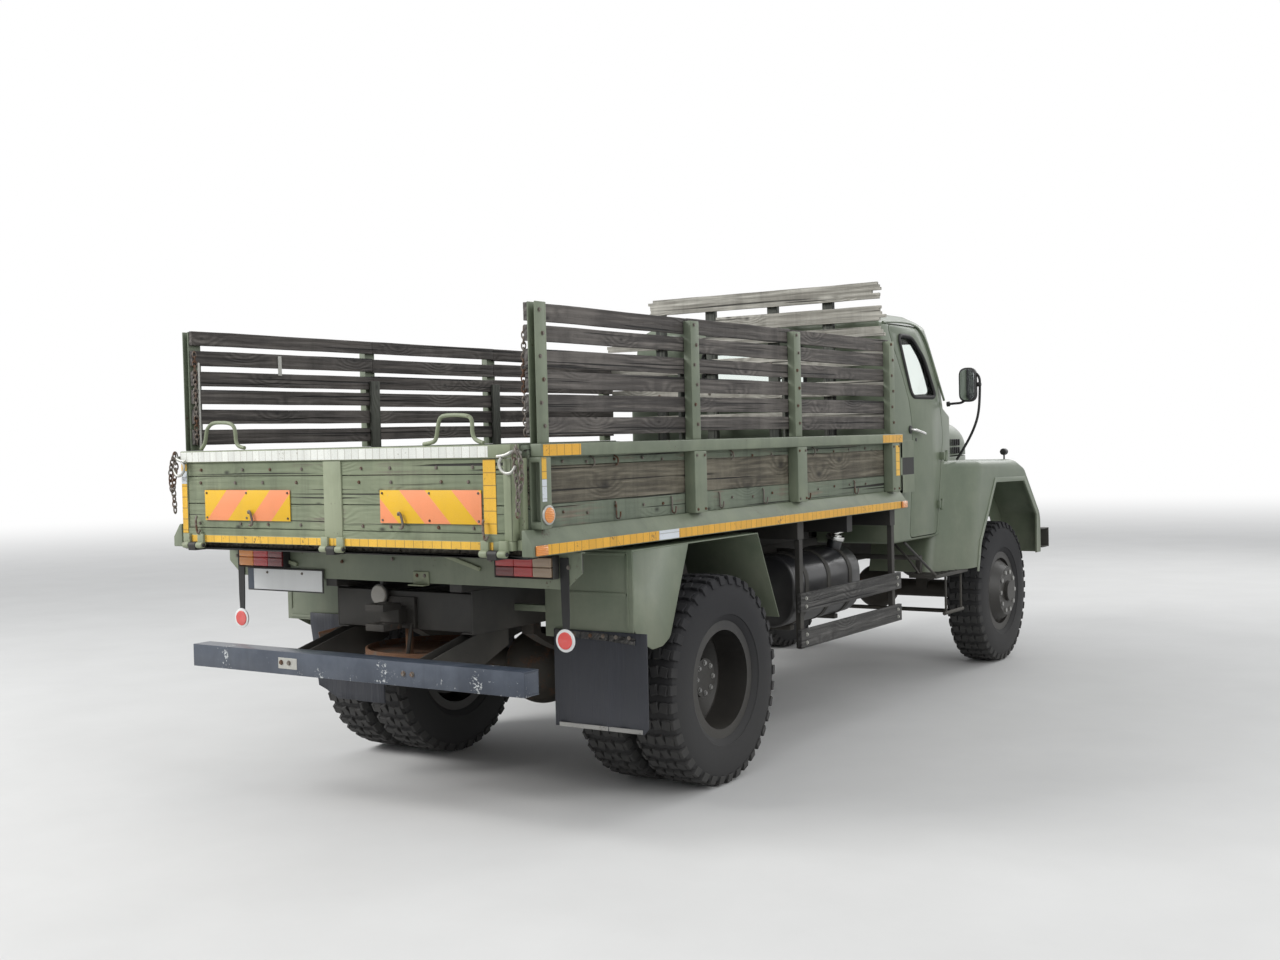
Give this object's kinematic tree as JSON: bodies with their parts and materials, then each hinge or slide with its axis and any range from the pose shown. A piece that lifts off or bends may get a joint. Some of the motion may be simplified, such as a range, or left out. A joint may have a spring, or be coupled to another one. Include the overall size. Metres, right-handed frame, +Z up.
{
  "type": "military cargo truck",
  "caption": "Old green bonneted cargo truck with a flat wooden load bed, slatted side racks, a drop tailgate, twin rear wheels, steering front wheels and opening doors and bonnet.",
  "frame": {"origin": "on the ground under the middle of the overall box", "axes": "+Y towards the front of the truck, +X to its right, +Z up"},
  "size_m": [2.336, 6.657, 2.6047],
  "materials": {
    "frame_paint": "matte, worn",
    "bed_green": "matte, faded",
    "dark_wood": "weathered",
    "floor_wood": "rough, worn",
    "side_wood": "worn paint over bare wood",
    "slat_wood": "weathered, dark",
    "grey_wood": "weathered, split",
    "body_green": "faded satin",
    "flap_rubber": "dusty",
    "red_lens": "glossy",
    "plate_white": "satin, blank",
    "underride_paint": "scratched",
    "rusty_steel": "rusted",
    "axle_iron": "dusty, greasy",
    "engine_iron": "dusty",
    "tank_black": "satin black",
    "glass": "clear",
    "mirror_black": "matte black",
    "seat_fabric": "worn cloth",
    "cab_inside": "satin",
    "wheel_plastic": "satin",
    "lamp_metal": "satin",
    "mount_rubber": "matte",
    "gate_green": "faded, scratched",
    "marker_face": "retroreflective stripes",
    "rim_paint": "dusty black",
    "tyre": "dusty"
  },
  "bodies": {
    "chassis": {"chassis_frame": "frame_paint", "bed_bearers": "bed_green", "side_guard_planks": "dark_wood", "bed_floor": "floor_wood", "bed_edge_frame": "bed_green", "right_side_panel": "side_wood", "left_side_panel": "side_wood", "right_slat_rack": "slat_wood", "left_slat_rack": "slat_wood", "headboard": "grey_wood", "rear_mudguards": "body_green", "mudflaps": "flap_rubber", "tail_beam": "bed_green", "tail_lamps": "red_lens", "licence_plate": "plate_white", "underride_bar": "underride_paint", "spare_wheel_pan": "rusty_steel", "tow_hitch": "frame_paint", "rear_axle": "axle_iron", "front_axle": "axle_iron", "leaf_springs": "axle_iron", "engine_block": "engine_iron", "gearbox_and_shafts": "engine_iron", "fuel_tank": "tank_black", "battery_box": "tank_black", "exhaust_pipe": "rusty_steel", "cab_glass": "glass", "right_mirror": "mirror_black", "left_mirror": "mirror_black", "bench_seat": "seat_fabric", "cab_fittings": "cab_inside", "steering_wheel": "wheel_plastic", "nose_shell": "body_green", "cab_shell": "body_green", "front_fenders": "body_green", "headlamps": "lamp_metal", "front_bumper": "frame_paint", "cab_steps": "frame_paint", "cab_mounts": "mount_rubber"},
    "right_door": {"right_door": "body_green", "right_door_glass": "glass"},
    "left_door": {"left_door": "body_green", "left_door_glass": "glass"},
    "bonnet": {"bonnet": "body_green"},
    "tailgate": {"tailgate": "gate_green", "marker_boards": "marker_face"},
    "right_knuckle": {"right_knuckle": "axle_iron"},
    "left_knuckle": {"left_knuckle": "axle_iron"},
    "tie_rod": {"tie_rod": "axle_iron"},
    "right_front_wheel": {"right_front_wheel": "rim_paint", "right_front_tyre": "tyre"},
    "left_front_wheel": {"left_front_wheel": "rim_paint", "left_front_tyre": "tyre"},
    "right_rear_wheel": {"right_rear_wheels": "rim_paint", "right_rear_tyres": "tyre"},
    "left_rear_wheel": {"left_rear_wheels": "rim_paint", "left_rear_tyres": "tyre"}
  },
  "joints": [
    {"name": "right_door_hinge", "type": "hinge", "parent": "chassis", "child": "right_door", "pos_m": [0.985, 1.246, 1.006], "axis": [0, 0.2722, 0.9622], "range_deg": [0, 65]},
    {"name": "left_door_hinge", "type": "hinge", "parent": "chassis", "child": "left_door", "pos_m": [-0.985, 1.246, 1.006], "axis": [0, -0.2722, -0.9622], "range_deg": [0, 65]},
    {"name": "bonnet_hinge", "type": "hinge", "parent": "chassis", "child": "bonnet", "pos_m": [0, 1.612, 1.814], "axis": [1, 0, 0], "range_deg": [0, 45]},
    {"name": "tailgate_hinge", "type": "hinge", "parent": "chassis", "child": "tailgate", "pos_m": [0, -3.322, 1.232], "axis": [1, 0, 0], "range_deg": [0, 90]},
    {"name": "right_steer", "type": "hinge", "parent": "chassis", "child": "right_knuckle", "pos_m": [0.71, 2.43, 0.509], "axis": [0, 0, 1], "range_deg": [-28, 28]},
    {"name": "left_steer", "type": "hinge", "parent": "chassis", "child": "left_knuckle", "pos_m": [-0.71, 2.43, 0.509], "axis": [0, 0, 1], "range_deg": [-28, 28]},
    {"name": "tie_rod_pin", "type": "hinge", "parent": "right_knuckle", "child": "tie_rod", "pos_m": [0.71, 2.22, 0.369], "axis": [0, 0, 1], "range_deg": [-28, 28]},
    {"name": "right_front_spin", "type": "hinge", "parent": "right_knuckle", "child": "right_front_wheel", "pos_m": [0.87, 2.43, 0.509], "axis": [1, 0, 0], "continuous": true},
    {"name": "left_front_spin", "type": "hinge", "parent": "left_knuckle", "child": "left_front_wheel", "pos_m": [-0.87, 2.43, 0.509], "axis": [1, 0, 0], "continuous": true},
    {"name": "right_rear_spin", "type": "hinge", "parent": "chassis", "child": "right_rear_wheel", "pos_m": [0.8375, -1.82, 0.509], "axis": [1, 0, 0], "continuous": true},
    {"name": "left_rear_spin", "type": "hinge", "parent": "chassis", "child": "left_rear_wheel", "pos_m": [-0.8375, -1.82, 0.509], "axis": [1, 0, 0], "continuous": true}
  ],
  "couplings": [
    {"joint": "left_steer", "follows": "right_steer", "ratio": 1},
    {"joint": "tie_rod_pin", "follows": "right_steer", "ratio": -1}
  ]
}
